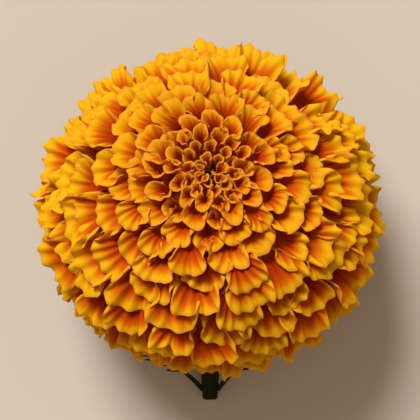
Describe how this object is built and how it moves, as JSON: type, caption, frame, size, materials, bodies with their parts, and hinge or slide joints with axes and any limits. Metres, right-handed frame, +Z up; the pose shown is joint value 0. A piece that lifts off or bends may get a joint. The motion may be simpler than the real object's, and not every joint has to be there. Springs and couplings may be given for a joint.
{
  "type": "african marigold flower",
  "caption": "Cut african marigold: a dense golden-orange double pompon head with ruffled florets, on a short green stem with a ribbed cup and small leaves, lying on a surface.",
  "frame": {"origin": "on the surface that the flower lies on, under the middle of its outline", "axes": "+Z up, away from the surface; +Y from the stem's cut end towards the head, which is up in the picture; +X to the right in the picture"},
  "size_m": [0.0891, 0.096, 0.0642],
  "materials": {
    "petals": "matte",
    "cup": "satin",
    "stem": "satin",
    "leaf": "satin"
  },
  "bodies": {
    "root": {"bloom": "petals", "calyx": "cup", "stem": "stem", "leaf_left": "leaf", "leaf_right": "leaf"}
  },
  "joints": []
}
